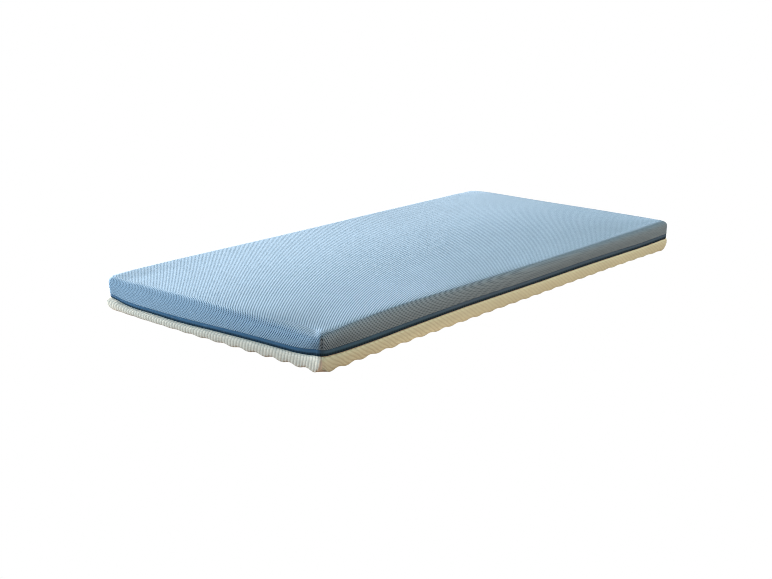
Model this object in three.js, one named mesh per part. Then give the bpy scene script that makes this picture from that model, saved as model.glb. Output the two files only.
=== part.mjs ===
// Baby mattress for a cot, lying flat: a filled pad in a two-part knitted
// cover. The upper cover (light blue mesh knit) and the lower cover (cream
// knit) meet at a navy border tape that runs all the way round. The lower
// cover follows a profiled pad, so its underside stands on rows of rounded
// bumps, and those bumps scallop its bottom edge.
//
// Millimetres, +Z up. X is the length, Y the width. The origin is the middle
// of the footprint, on the surface that the mattress rests on.

import * as THREE from 'three';

// ---------------------------------------------------------------- sizes ---
const LENGTH = 1200;            // over the corners, along X
const WIDTH = 590;              // over the corners, along Y
const DRAWN_IN_LONG = 11;       // how far a long side pulls in between corners
const DRAWN_IN_SHORT = 1.5;     // the same for a short side
const DRAW_POWER = 8;           // high: the pull starts close to the corner
const SKEW = { x: -2, y: 3, reach: 45 };  // the corner at -X -Y is sewn a little askew
const CENTRE = { x: 0.2, y: -1.3 };       // puts the middle of the footprint on the origin
const CROWN = 5.5;              // rise of the top's middle over its edge
const GAP = 0.3;                // between pieces that touch

const BUMPS_LONG = 28;          // profiled underside, bumps along X
const BUMPS_SHORT = 14;         // and along Y
const FOOT_SHARE = 0.36;        // flat foot of a bump, as a share of its cell
const VALLEY = 4.3;             // height of the valleys between the bumps
const EDGE_BUMP = 0.7;          // height of a bump where it meets the side

const CORNER_EDGE = 7;          // height of the side's rounded bottom corners
const EDGE_CORNER = 18;         // corner radius of the scalloped edge in plan
const UNDER_INSET = 5.0;        // of the outline that the grid of bumps fills

const TAPE_THICK = 2.6;         // border tape's thickness
const TAPE_CORNER = 13;         // corner radius of its face in plan
const LIP = 0.6;                // how far the covers stand out at the tape

// --------------------------------------------------------------- tables ---
// Round the mattress, `at` runs 0 to 4: 0 is the corner at -X -Y, 0 to 1 the
// long side at -Y, 1 to 2 the short side at +X, 2 to 3 the long side at +Y,
// and 3 to 4 the short side at -X. Heights: `tape` is the tape's lower edge,
// `band` the tape's own height, `edge` the top's edge. `seam` is how far in
// the tape's face lies, `full` and `bulge` how far the upper and the lower
// cover stand out past it, and `under` is the inset of the bottom edge.
// `fold` widens the rounding into the top, and `wave` is the depth of the
// scallops as a share.
const ROUND = [
  { at: 0.000, tape: 31.3, band: 11.5, edge: 72.0, seam: 4.8, full: 2.8, bulge: 6.0, under: 5.0, fold: 1.30, wave: 1.00 },
  { at: 0.020, tape: 29.1, band: 11.4, edge: 71.6, seam: 4.8, full: 2.8, bulge: 4.6, under: 4.9, fold: 1.10, wave: 0.99 },
  { at: 0.045, tape: 27.1, band: 12.2, edge: 73.0, seam: 4.7, full: 2.9, bulge: 3.8, under: 4.8, fold: 0.90, wave: 0.98 },
  { at: 0.090, tape: 25.7, band: 12.1, edge: 74.4, seam: 4.6, full: 3.0, bulge: 3.2, under: 4.6, fold: 0.80, wave: 0.94 },
  { at: 0.140, tape: 25.5, band: 12.3, edge: 75.4, seam: 4.6, full: 3.0, bulge: 2.6, under: 4.6, fold: 0.74, wave: 0.92 },
  { at: 0.190, tape: 26.4, band: 11.8, edge: 75.8, seam: 4.6, full: 3.0, bulge: 2.5, under: 4.5, fold: 0.72, wave: 0.90 },
  { at: 0.340, tape: 27.8, band: 11.8, edge: 73.0, seam: 4.6, full: 3.0, bulge: 2.4, under: 4.4, fold: 0.75, wave: 0.80 },
  { at: 0.510, tape: 26.1, band: 11.7, edge: 69.9, seam: 4.5, full: 3.0, bulge: 2.3, under: 3.8, fold: 1.00, wave: 0.62 },
  { at: 0.710, tape: 25.0, band: 12.5, edge: 67.4, seam: 4.4, full: 2.6, bulge: 2.7, under: 2.8, fold: 1.35, wave: 0.50 },
  { at: 0.900, tape: 22.9, band: 11.8, edge: 66.9, seam: 4.0, full: 1.8, bulge: 2.3, under: 2.4, fold: 1.55, wave: 0.40 },
  { at: 0.950, tape: 24.4, band: 12.2, edge: 68.0, seam: 3.4, full: 1.0, bulge: 1.9, under: 3.0, fold: 1.60, wave: 0.36 },
  { at: 0.980, tape: 26.6, band: 12.3, edge: 69.4, seam: 3.0, full: 0.5, bulge: 1.4, under: 4.8, fold: 1.45, wave: 0.32 },
  { at: 1.000, tape: 28.2, band: 11.8, edge: 70.6, seam: 2.8, full: 0.4, bulge: 1.0, under: 6.6, fold: 1.20, wave: 0.30 },
  { at: 1.050, tape: 26.0, band: 11.0, edge: 70.8, seam: 3.4, full: 0.9, bulge: 1.6, under: 5.8, fold: 1.10, wave: 0.40 },
  { at: 1.120, tape: 22.6, band: 10.6, edge: 70.8, seam: 3.9, full: 1.6, bulge: 2.5, under: 4.8, fold: 1.00, wave: 0.55 },
  { at: 1.350, tape: 20.2, band: 10.0, edge: 71.0, seam: 4.4, full: 2.6, bulge: 4.8, under: 5.0, fold: 1.00, wave: 1.00 },
  { at: 1.620, tape: 19.8, band: 10.0, edge: 71.2, seam: 4.4, full: 2.6, bulge: 5.2, under: 5.0, fold: 1.00, wave: 1.00 },
  { at: 1.870, tape: 21.6, band: 10.2, edge: 70.2, seam: 4.4, full: 2.0, bulge: 6.0, under: 5.0, fold: 1.00, wave: 1.00 },
  { at: 1.940, tape: 25.0, band: 10.4, edge: 69.2, seam: 4.4, full: 1.7, bulge: 6.3, under: 5.0, fold: 1.00, wave: 1.00 },
  { at: 2.000, tape: 30.0, band: 10.4, edge: 67.6, seam: 4.4, full: 1.4, bulge: 5.2, under: 5.0, fold: 1.00, wave: 1.00 },
  { at: 2.030, tape: 27.2, band: 10.8, edge: 69.0, seam: 4.4, full: 1.6, bulge: 5.0, under: 5.0, fold: 1.00, wave: 1.00 },
  { at: 2.080, tape: 25.0, band: 11.0, edge: 70.2, seam: 4.5, full: 1.8, bulge: 4.3, under: 5.1, fold: 1.00, wave: 1.00 },
  { at: 2.340, tape: 26.4, band: 11.2, edge: 71.2, seam: 4.6, full: 2.4, bulge: 3.4, under: 5.3, fold: 1.00, wave: 1.00 },
  { at: 2.580, tape: 26.8, band: 11.0, edge: 71.6, seam: 4.6, full: 2.4, bulge: 3.3, under: 5.6, fold: 1.00, wave: 1.00 },
  { at: 2.860, tape: 24.6, band: 10.8, edge: 73.0, seam: 4.5, full: 1.8, bulge: 4.2, under: 5.9, fold: 1.00, wave: 0.76 },
  { at: 2.950, tape: 25.4, band: 10.0, edge: 71.8, seam: 4.4, full: 1.0, bulge: 4.9, under: 6.0, fold: 0.90, wave: 0.40 },
  { at: 3.000, tape: 26.0, band: 8.6, edge: 68.6, seam: 4.2, full: 0.5, bulge: 5.2, under: 6.0, fold: 0.80, wave: 0.20 },
  { at: 3.050, tape: 22.3, band: 8.6, edge: 67.6, seam: 4.3, full: 1.2, bulge: 6.2, under: 6.3, fold: 0.85, wave: 0.19 },
  { at: 3.080, tape: 18.8, band: 8.9, edge: 67.4, seam: 4.4, full: 1.6, bulge: 6.2, under: 6.2, fold: 0.88, wave: 0.18 },
  { at: 3.130, tape: 16.3, band: 9.6, edge: 68.6, seam: 4.5, full: 2.1, bulge: 6.2, under: 5.6, fold: 0.91, wave: 0.17 },
  { at: 3.220, tape: 16.2, band: 9.4, edge: 69.6, seam: 4.5, full: 3.0, bulge: 6.3, under: 4.2, fold: 0.93, wave: 0.17 },
  { at: 3.370, tape: 15.7, band: 10.9, edge: 71.2, seam: 4.6, full: 3.2, bulge: 6.3, under: 3.6, fold: 0.97, wave: 0.32 },
  { at: 3.510, tape: 18.8, band: 10.3, edge: 71.9, seam: 4.7, full: 3.4, bulge: 6.1, under: 3.8, fold: 1.05, wave: 0.54 },
  { at: 3.640, tape: 21.3, band: 10.9, edge: 72.4, seam: 4.7, full: 3.4, bulge: 5.7, under: 4.8, fold: 1.25, wave: 0.78 },
  { at: 3.770, tape: 23.1, band: 10.7, edge: 73.4, seam: 4.7, full: 3.4, bulge: 5.3, under: 5.6, fold: 1.90, wave: 1.00 },
  { at: 3.880, tape: 24.4, band: 10.8, edge: 72.4, seam: 4.8, full: 3.4, bulge: 5.2, under: 5.6, fold: 2.40, wave: 1.00 },
  { at: 3.940, tape: 27.6, band: 11.7, edge: 71.0, seam: 4.8, full: 3.2, bulge: 5.2, under: 5.4, fold: 2.20, wave: 1.00 },
  { at: 3.970, tape: 30.5, band: 11.9, edge: 70.4, seam: 4.8, full: 3.0, bulge: 5.2, under: 5.2, fold: 1.80, wave: 1.00 },
];

// Side of the lower cover, from its bottom edge up to the tape. `rise` is a
// share of the height under the tape, `wide` a share of `bulge`, `foot` a
// share of the way in to the bottom edge, and `corner` the corner radius.
const LOWER_SIDE = [
  { rise: 0.24, wide: 0.78, foot: 0.22, corner: 16 },
  { rise: 0.58, wide: 1.00, foot: 0.00, corner: 14 },
  { rise: 0.88, wide: 0.72, foot: 0.00, corner: 13 },
];

// Side of the upper cover, from the tape up to the fold into the top. `rise`
// is a share of the height between the tape and the top's edge, `out` a share
// of `full`, and `in` is how far the fold turns in, in mm.
const UPPER_SIDE = [
  { rise: 0.00, out: 0.00, in: 0.0, corner: 13 },
  { rise: 0.14, out: 0.45, in: 0.0, corner: 13 },
  { rise: 0.48, out: 0.98, in: 0.0, corner: 11 },
  { rise: 0.77, out: 0.95, in: 0.6, corner: 11 },
  { rise: 0.90, out: 0.90, in: 2.6, corner: 13 },
  { rise: 0.97, out: 0.90, in: 5.8, corner: 15 },
  { rise: 1.00, out: 0.90, in: 10.4, corner: 17 },
];

// The top, in from its edge. `share` scales the outline towards the middle.
const TOP_RINGS = [{ share: 0.84 }, { share: 0.48 }];
const TOP_STEP = 2;             // the top uses every second point round

// ------------------------------------------------------------ functions ---
const HALF_L = LENGTH / 2, HALF_W = WIDTH / 2;

// A value from the table ROUND at any place round the mattress, smoothly.
function round(column, at) {
  const n = ROUND.length;
  const row = (i) => ({
    x: ROUND[((i % n) + n) % n].at + 4 * Math.floor(i / n),
    y: ROUND[((i % n) + n) % n][column],
  });
  const a = ((at % 4) + 4) % 4;
  let i = n - 1;
  while (i > 0 && ROUND[i].at > a) i -= 1;
  const [p0, p1, p2, p3] = [row(i - 1), row(i), row(i + 1), row(i + 2)];
  const t = (a - p1.x) / (p2.x - p1.x);
  const m1 = ((p2.y - p0.y) / (p2.x - p0.x)) * (p2.x - p1.x);
  const m2 = ((p3.y - p1.y) / (p3.x - p1.x)) * (p2.x - p1.x);
  const t2 = t * t, t3 = t2 * t;
  return (2 * t3 - 3 * t2 + 1) * p1.y + (t3 - 2 * t2 + t) * m1
    + (3 * t2 - 2 * t3) * p2.y + (t3 - t2) * m2;
}

// The sides pull in between the corners; the whole plan follows them.
function drawnIn(x, y) {
  const fx = 1 - Math.min(1, Math.abs(x / HALF_L)) ** DRAW_POWER;
  const fy = 1 - Math.min(1, Math.abs(y / HALF_W)) ** DRAW_POWER;
  const askew = Math.exp(-((x + HALF_L) ** 2 + (y + HALF_W) ** 2) / SKEW.reach ** 2);
  return [x * (1 - (DRAWN_IN_SHORT / HALF_L) * fy) + SKEW.x * askew + CENTRE.x,
    y * (1 - (DRAWN_IN_LONG / HALF_W) * fx) + SKEW.y * askew + CENTRE.y];
}

// The points round the outline, anticlockwise from above, two for each bump:
// u and v are -1 to 1 on the border of a square, and `at` is as in ROUND.
function walk() {
  const sides = [
    { from: [-1, -1], to: [1, -1], steps: 2 * BUMPS_LONG },
    { from: [1, -1], to: [1, 1], steps: 2 * BUMPS_SHORT },
    { from: [1, 1], to: [-1, 1], steps: 2 * BUMPS_LONG },
    { from: [-1, 1], to: [-1, -1], steps: 2 * BUMPS_SHORT },
  ];
  const out = [];
  sides.forEach((s, k) => {
    for (let i = 0; i < s.steps; i += 1) {
      const t = i / s.steps;
      out.push({
        u: s.from[0] + (s.to[0] - s.from[0]) * t,
        v: s.from[1] + (s.to[1] - s.from[1]) * t,
        at: k + t,
        between: i % 2 === 0,     // between two bumps, not on one
      });
    }
  });
  return out;
}
const STATIONS = walk();

// A point of an outline with rounded corners, before the sides pull in.
function onOutline({ u, v }, inset, corner) {
  const a = HALF_L - inset, b = HALF_W - inset;
  const x = u * a, y = v * b;
  const longSide = Math.abs(v) > 0.999999;
  const left = longSide ? a - Math.abs(x) : b - Math.abs(y);
  if (left >= corner) return [x, y];
  const turn = (Math.PI / 4) * (1 - left / corner);
  const along = corner * Math.sin(turn), out = corner * Math.cos(turn);
  const [ox, oy] = longSide ? [along, out] : [out, along];
  return [Math.sign(x) * (a - corner + ox), Math.sign(y) * (b - corner + oy)];
}

// One ring of points, at an inset and a height given for each station.
function ring(insetAt, corner, heightAt, stations = STATIONS, share = 1) {
  return stations.map((s) => {
    const [x, y] = onOutline(s, insetAt(s), corner);
    const [dx, dy] = drawnIn(x, y);
    return [dx * share, dy * share, heightAt(s)];
  });
}

// Collects the rings and faces of one closed solid.
class Loft {
  constructor() { this.points = []; this.faces = []; }
  point(p) { this.points.push(p); return this.points.length - 1; }
  ring(points) { return points.map((p) => this.point(p)); }
  band(lower, upper) {                 // seen from outside: lower left first
    const n = lower.length;
    for (let i = 0; i < n; i += 1) {
      const j = (i + 1) % n;
      this.faces.push([lower[i], lower[j], upper[j]], [lower[i], upper[j], upper[i]]);
    }
  }
  halve(lower, upper) {                // from a ring to one of half its points
    const n = upper.length;
    for (let i = 0; i < n; i += 1) {
      const j = (i + 1) % n, m = lower.length;
      const a = lower[2 * i], b = lower[2 * i + 1], c = lower[(2 * i + 2) % m];
      this.faces.push([a, b, upper[i]], [b, upper[j], upper[i]], [b, c, upper[j]]);
    }
  }
  fan(ringIds, centre, up) {
    const n = ringIds.length;
    for (let i = 0; i < n; i += 1) {
      const j = (i + 1) % n;
      this.faces.push(up ? [ringIds[i], ringIds[j], centre] : [ringIds[j], ringIds[i], centre]);
    }
  }
  geometry() {
    const g = new THREE.BufferGeometry();
    g.setAttribute('position', new THREE.Float32BufferAttribute(this.points.flat(), 3));
    g.setIndex(this.faces.flat());
    g.computeVertexNormals();
    return g;
  }
}

const tapeLow = (s) => round('tape', s.at);
const tapeHigh = (s) => round('tape', s.at) + round('band', s.at);
const tapeMid = (s) => (tapeLow(s) + tapeHigh(s)) / 2;
const topEdge = (s) => round('edge', s.at);
const tapeFace = (s) => round('seam', s.at);
const tapeBack = (s) => tapeFace(s) + TAPE_THICK;
const grooveFloor = (s) => tapeBack(s) + GAP;
const lipLine = (s) => tapeFace(s) - LIP;
const GROOVE_CORNER = TAPE_CORNER - TAPE_THICK - GAP;
const MIDDLE_Z = STATIONS.reduce((sum, s) => sum + tapeMid(s), 0) / STATIONS.length;

// ----------------------------------------------------------- cover_base ---
// The underside is a grid of bumps, each a flat foot with four slopes up to
// the valleys. Its outer cells reach the scalloped bottom edge of the side.
function coverBase() {
  const m = new Loft();
  const edgeHeight = (s) => {
    if (Number.isInteger(s.at)) return CORNER_EDGE;
    return EDGE_BUMP + (s.between ? (VALLEY - EDGE_BUMP) * round('wave', s.at) : 0);
  };
  const bottomEdge = (s) => round('under', s.at);
  const edge = m.ring(ring(bottomEdge, EDGE_CORNER, edgeHeight));
  let below = edge;
  for (const row of LOWER_SIDE) {
    const next = m.ring(ring(
      (s) => lipLine(s) - round('bulge', s.at) * row.wide + (bottomEdge(s) - lipLine(s)) * row.foot,
      row.corner,
      (s) => VALLEY + (tapeLow(s) - GAP - VALLEY) * row.rise,
    ));
    m.band(below, next);
    below = next;
  }
  const lip = m.ring(ring(lipLine, TAPE_CORNER + LIP, (s) => tapeLow(s) - GAP));
  const groove = m.ring(ring(grooveFloor, GROOVE_CORNER, (s) => tapeLow(s) - GAP));
  const inner = m.ring(ring(grooveFloor, GROOVE_CORNER, (s) => tapeMid(s) - GAP / 2));
  m.band(below, lip);
  m.band(lip, groove);
  m.band(groove, inner);
  m.fan(inner, m.point([0, 0, MIDDLE_Z - GAP / 2]), true);

  // crossings of the valleys: those on the border are stations of the edge
  const a = HALF_L - UNDER_INSET, b = HALF_W - UNDER_INSET;
  const nx = BUMPS_LONG, ny = BUMPS_SHORT;
  const border = (i, j) => {                     // i, j count half cells
    if (j === 0) return i;
    if (i === 2 * nx) return 2 * nx + j;
    if (j === 2 * ny) return 4 * nx + 2 * ny - i;
    return (6 * nx + 4 * ny - (2 * nx + j)) % (4 * nx + 4 * ny);
  };
  const plan = (i, j) => drawnIn(a * (i / nx - 1), b * (j / ny - 1));
  const crossing = [];
  for (let i = 0; i <= nx; i += 1) {
    crossing.push([]);
    for (let j = 0; j <= ny; j += 1) {
      const outer = i === 0 || j === 0 || i === nx || j === ny;
      crossing[i].push(outer ? edge[border(2 * i, 2 * j)]
        : m.point([...plan(2 * i, 2 * j), VALLEY]));
    }
  }
  const f = FOOT_SHARE;                          // half a foot, in half cells
  for (let i = 0; i < nx; i += 1) {
    for (let j = 0; j < ny; j += 1) {
      const ci = 2 * i + 1, cj = 2 * j + 1;
      const foot = [[-f, -f], [f, -f], [f, f], [-f, f]]
        .map(([du, dv]) => m.point([...plan(ci + du, cj + dv), 0]));
      const cell = [crossing[i][j], crossing[i + 1][j], crossing[i + 1][j + 1], crossing[i][j + 1]];
      const middle = [                           // a bump's top on the border
        j === 0 ? edge[border(ci, 0)] : null,
        i === nx - 1 ? edge[border(2 * nx, cj)] : null,
        j === ny - 1 ? edge[border(ci, 2 * ny)] : null,
        i === 0 ? edge[border(0, cj)] : null,
      ];
      m.faces.push([foot[0], foot[2], foot[1]], [foot[0], foot[3], foot[2]]);
      for (let k = 0; k < 4; k += 1) {
        const l = (k + 1) % 4;
        if (middle[k] === null) {
          m.faces.push([cell[k], foot[k], foot[l]], [cell[k], foot[l], cell[l]]);
        } else {
          m.faces.push([cell[k], foot[k], middle[k]], [foot[k], foot[l], middle[k]],
            [middle[k], foot[l], cell[l]]);
        }
      }
    }
  }
  return m.geometry();
}

// ---------------------------------------------------------- border_tape ---
// A band of tape in the groove between the two covers.
function borderTape() {
  const m = new Loft();
  const loops = [
    ring(tapeFace, TAPE_CORNER, tapeLow),
    ring(tapeFace, TAPE_CORNER, tapeHigh),
    ring(tapeBack, TAPE_CORNER - TAPE_THICK, tapeHigh),
    ring(tapeBack, TAPE_CORNER - TAPE_THICK, tapeLow),
  ].map((points) => m.ring(points));
  loops.forEach((lower, k) => m.band(lower, loops[(k + 1) % loops.length]));
  return m.geometry();
}

// ------------------------------------------------------------ cover_top ---
// The side rounds over a soft fold into the crowned top.
function coverTop() {
  const m = new Loft();
  const inner = m.ring(ring(grooveFloor, GROOVE_CORNER, (s) => tapeMid(s) + GAP / 2));
  const groove = m.ring(ring(grooveFloor, GROOVE_CORNER, (s) => tapeHigh(s) + GAP));
  m.fan(inner, m.point([0, 0, MIDDLE_Z + GAP / 2]), false);
  m.band(inner, groove);
  const few = STATIONS.filter((s, i) => i % TOP_STEP === 0);
  const height = (row) => (s) => tapeHigh(s) + GAP + (topEdge(s) - tapeHigh(s) - GAP) * row.rise;
  const inset = (row) => (s) => lipLine(s) - round('full', s.at) * row.out + round('fold', s.at) * row.in;
  const first = UPPER_SIDE[0];
  const lip = m.ring(ring(inset(first), first.corner, height(first)));
  m.band(groove, lip);
  let below = null;
  for (const row of UPPER_SIDE.slice(1)) {
    const next = m.ring(ring(inset(row), row.corner, height(row), few));
    if (below === null) m.halve(lip, next); else m.band(below, next);
    below = next;
  }
  const last = UPPER_SIDE[UPPER_SIDE.length - 1];
  const middle = STATIONS.reduce((sum, s) => sum + topEdge(s), 0) / STATIONS.length + CROWN;
  for (const row of TOP_RINGS) {
    const rise = 1 - row.share * row.share;
    const next = m.ring(ring(inset(last), last.corner,
      (s) => topEdge(s) + (middle - topEdge(s)) * rise, few, row.share));
    m.band(below, next);
    below = next;
  }
  m.fan(below, m.point([0, 0, middle]), true);
  return m.geometry();
}

// ------------------------------------------------------------- materials ---
const blueKnit = new THREE.MeshStandardMaterial({ color: 0x9fc0da, roughness: 0.9, metalness: 0 });
const navyTape = new THREE.MeshStandardMaterial({ color: 0x284a68, roughness: 0.8, metalness: 0 });
const creamKnit = new THREE.MeshStandardMaterial({ color: 0xe2dcc6, roughness: 0.92, metalness: 0 });

function piece(name, geometry, material) {
  const mesh = new THREE.Mesh(geometry, material);
  mesh.name = name;
  return mesh;
}

const mattress = new THREE.Group();
mattress.add(
  piece('cover_base', coverBase(), creamKnit),
  piece('border_tape', borderTape(), navyTape),
  piece('cover_top', coverTop(), blueKnit),
);

export default mattress;
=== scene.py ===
"""Baby mattress: a filled pad in a two-part knitted cover, lying flat.

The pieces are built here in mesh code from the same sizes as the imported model, in
millimetres, and written to Blender in metres. The upper cover is a light blue open
mesh knit, the lower cover a cream ribbed knit over a profiled pad, and a navy tape
joins them all the way round.
"""

import math

import bpy
import numpy as np
from mathutils import Matrix, Vector


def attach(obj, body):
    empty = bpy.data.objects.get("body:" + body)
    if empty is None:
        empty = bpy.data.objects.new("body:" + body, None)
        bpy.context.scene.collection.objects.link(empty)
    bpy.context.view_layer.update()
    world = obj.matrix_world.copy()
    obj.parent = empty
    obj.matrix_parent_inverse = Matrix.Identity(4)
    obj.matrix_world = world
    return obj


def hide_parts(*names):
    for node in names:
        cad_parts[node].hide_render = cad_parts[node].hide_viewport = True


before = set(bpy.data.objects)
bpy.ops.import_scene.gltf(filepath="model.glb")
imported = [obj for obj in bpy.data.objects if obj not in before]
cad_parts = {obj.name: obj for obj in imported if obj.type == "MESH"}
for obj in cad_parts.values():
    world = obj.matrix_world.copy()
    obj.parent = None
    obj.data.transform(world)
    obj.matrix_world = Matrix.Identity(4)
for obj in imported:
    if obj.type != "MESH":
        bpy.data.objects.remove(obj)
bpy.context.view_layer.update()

# ------------------------------------------------------------------ sizes (mm)
LENGTH, WIDTH = 1200.0, 590.0
HALF_L, HALF_W = LENGTH / 2, WIDTH / 2
DRAWN_IN_LONG, DRAWN_IN_SHORT, DRAW_POWER = 11.0, 1.5, 8
SKEW_X, SKEW_Y, SKEW_REACH = -2.0, 3.0, 45.0  # the corner at -X -Y is sewn a little askew
CENTRE = np.array([0.2, -1.3, 0.0])       # puts the middle of the footprint on the origin
CROWN = 5.5
ROLL_REACH = 13.0                         # how far the roll of the top's edge reaches in
GAP = 0.3
BUMPS_LONG, BUMPS_SHORT = 28, 14
FOOT_SHARE, VALLEY, EDGE_BUMP = 0.36, 4.3, 0.3
TAPE_THICK, TAPE_CORNER, LIP = 2.6, 13.0, 0.6
GROOVE_DEPTH = TAPE_THICK + GAP           # of the groove's floor, behind the tape's face
GROOVE_CORNER = TAPE_CORNER - GROOVE_DEPTH
CORNER_LIFT, CORNER_REACH = 3.2, 14.0     # the side's bottom corners are rounded up
RIB_DEPTH = 0.45
RIB_PITCH = {"long": 12.2, "short": 7.5}  # along the side; the cloth lies on the bias on the
RIB_LEAN = {"long": 0.133, "short": -0.03}  # long sides, so its ribs lean: ribs per mm of height
TOP_INSET, UNDER = 11.0, 5.0              # usual insets of the top's and underside's outlines

# at: 0 the corner at -X -Y, 0-1 the long side at -Y, 1-2 the short side at +X,
# 2-3 the long side at +Y, 3-4 the short side at -X. tape is the height of the
# tape's lower edge, band its height, edge the height of the top's edge. seam is how
# far in the tape's face lies, full and bulge are how far the upper and lower covers
# stand out past it, under is the inset of the bottom edge, fold widens the rounding
# into the top, and wave is the depth of the scallops as a share.
ROUND = {
    "at":   [0.000, 0.020, 0.045, 0.090, 0.140, 0.190, 0.340, 0.510, 0.710, 0.900, 0.950, 0.980,
             1.000, 1.050, 1.120, 1.350, 1.620, 1.870, 1.940, 2.000, 2.030, 2.080, 2.340, 2.580,
             2.860, 2.950, 3.000, 3.050, 3.080, 3.130, 3.220, 3.370, 3.510, 3.640, 3.770, 3.880,
             3.940, 3.970],
    "tape": [31.3, 29.1, 27.1, 25.7, 25.5, 26.4, 27.8, 26.1, 25.0, 22.9, 24.4, 26.6, 28.2, 26.0,
             22.6, 20.2, 19.8, 21.6, 25.0, 30.0, 27.2, 25.0, 26.4, 26.8, 24.6, 25.4, 26.0, 22.3,
             18.8, 16.3, 16.2, 15.7, 18.8, 21.3, 23.1, 24.4, 27.6, 30.5],
    "band": [11.5, 11.4, 12.2, 12.1, 12.3, 11.8, 11.8, 11.7, 12.5, 11.8, 12.2, 12.3, 11.8, 11.0,
             10.6, 10.0, 10.0, 10.2, 10.4, 10.4, 10.8, 11.0, 11.2, 11.0, 10.8, 10.0, 8.6, 8.6,
             8.9, 9.6, 9.4, 10.9, 10.3, 10.9, 10.7, 10.8, 11.7, 11.9],
    "edge": [72.0, 71.6, 73.0, 74.4, 75.4, 75.8, 73.0, 69.9, 67.4, 66.9, 68.0, 69.4, 70.6, 70.8,
             70.8, 71.0, 71.2, 70.2, 69.2, 67.6, 69.0, 70.2, 71.2, 71.6, 73.0, 71.8, 68.6, 67.6,
             67.4, 68.6, 69.6, 71.2, 71.9, 72.4, 73.4, 72.4, 71.0, 70.4],
    "seam": [4.8, 4.76, 4.7, 4.6, 4.6, 4.6, 4.6, 4.51, 4.4, 4, 3.38, 3, 2.8, 3.4, 3.87, 4.4, 4.4, 4.4,
             4.4, 4.4, 4.42, 4.45, 4.6, 4.6, 4.52, 4.4, 4.2, 4.32, 4.4, 4.45, 4.53, 4.62, 4.66, 4.7,
             4.73, 4.77, 4.78, 4.79],
    "full": [2.8, 2.84, 2.9, 3, 3, 3, 3, 2.98, 2.58, 1.8, 0.8, -0.1, -0.6, 0.3, 1.4, 2.6, 2.64, 2.05,
             1.7, 1.4, 1.55, 1.8, 2.4, 2.4, 1.84, 1, 0.5, 1.19, 1.6, 2.1, 3, 3.21, 3.4, 3.4, 3.4, 3.4,
             3.16, 2.98],
    "bulge": [6.0, 4.6, 3.8, 3.2, 2.6, 2.5, 2.4, 2.3, 2.7, 2.3, 1.9, 1.4, 1.0, 1.6, 2.5, 4.8,
              5.2, 6.0, 6.3, 5.2, 5.0, 4.3, 3.4, 3.3, 4.2, 4.9, 5.2, 6.2, 6.2, 6.2, 6.3, 6.3,
              6.1, 5.7, 5.3, 5.2, 5.2, 5.2],
    "under": [5.0, 4.9, 4.6, 4.2, 4.2, 4.2, 4.0, 3.4, 2.4, 1.4, 1.8, 3.4, 5.6, 5.4, 4.8, 5.0, 5.0,
              5.0, 5.0, 5.0, 5.0, 5.1, 5.3, 5.6, 5.9, 6.0, 6.0, 6.1, 5.6, 4.4, 2.8, 2.0, 2.4, 3.8,
              4.8, 5.2, 5.2, 5.0],
    "fold": [1.3, 1.1, 0.9, 0.8, 0.74, 0.72, 0.75, 1, 1.35, 1.55, 1.6, 1.45, 1.2, 1.1, 1, 1, 1, 1,
             1, 1, 1, 1, 1, 1, 1, 0.9, 0.8, 0.85, 0.88, 0.91, 0.93, 0.97, 1.05, 1.25, 1.9, 2.4, 2.2,
             1.8],
    "wave": [1, 0.99, 0.95, 0.86, 0.8, 0.74, 0.6, 0.48, 0.42, 0.38, 0.36, 0.32, 0.3, 0.4, 0.55, 1, 1,
             1, 1, 1, 1, 1, 1, 1, 0.76, 0.4, 0.2, 0.19, 0.18, 0.17, 0.17, 0.32, 0.54, 0.78, 1, 1, 1,
             1],
    # roll is how far the worn edge of the top sinks into the fold, in mm
    "roll": [1.6, 1.5, 1.4, 1.4, 1.4, 1.4, 1.4, 1.0, 0.6, 0.3, 0.3, 0.3, 0.3, 0.1, 0, 0.4, 1.5, 0.4,
             0.2, 0.8, 1.4, 0.5, 0, 0.4, 0, 0, 0.2, 0.6, 0.7, 0.8, 0.9, 1.0, 1.7, 2.6, 3.2, 3.0,
             2.4, 2.0],
    # tone of the cloth, all painted shade: the column after roll darkens the side just under the fold, shade darkens
    # the upper cover next to the tape, and deep darkens the tape on the end at -X and round the corner at -X -Y
    "fold_shade": [.10, .05, .05, .05, .05, .05, .05, .05, .06, .07, .06, .06, .04, 0, 0, 0, 0, 0,
            0, 0, 0, 0, 0, 0, 0, 0, 0, .02, .03, .06, .05, .02, .02, .10, .11, .10,
            .18, .22],
    "shade": [.40, .38, .36, .24, .18, .15, .10, .11, .13, .08, .06, .06, .10, .10, .10, .10, .10, .10,
              .10, .10, .10, .10, .10, .10, .10, .10, .08, .05, .03, .01, .00, .00, .02, .04, .09, .12,
              .25, .50],
    "deep": [.62, .68, .72, .82, .86, .88, 1, 1, 1, 1, 1, 1, 1, 1, 1, 1, 1, 1, 1, 1, 1, 1, 1, 1, 1, 1, 1,
             .88, .82, .78, .74, .76, .76, .74, .70, .66, .50, .54],
}

# Side of the upper cover from the tape to the top: rise is a share of the height
# between tape and top edge, out a share of full, fold is in towards the top in mm,
# and corner is the corner radius in plan.
UPPER_SIDE = {
    "rise":   [0.00, 0.04, 0.14, 0.34, 0.56, 0.76, 0.87, 0.94, 0.98, 1.00],
    "out":    [0.00, 0.16, 0.45, 0.85, 1.00, 0.96, 0.90, 0.90, 0.90, 0.90],
    "fold":   [0.00, 0.00, 0.00, 0.00, 0.00, 0.60, 1.90, 4.10, 6.50, 10.4],
    "corner": [13.0, 13.0, 13.0, 12.0, 11.0, 11.0, 12.0, 13.5, 15.0, 17.0],
}
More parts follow.
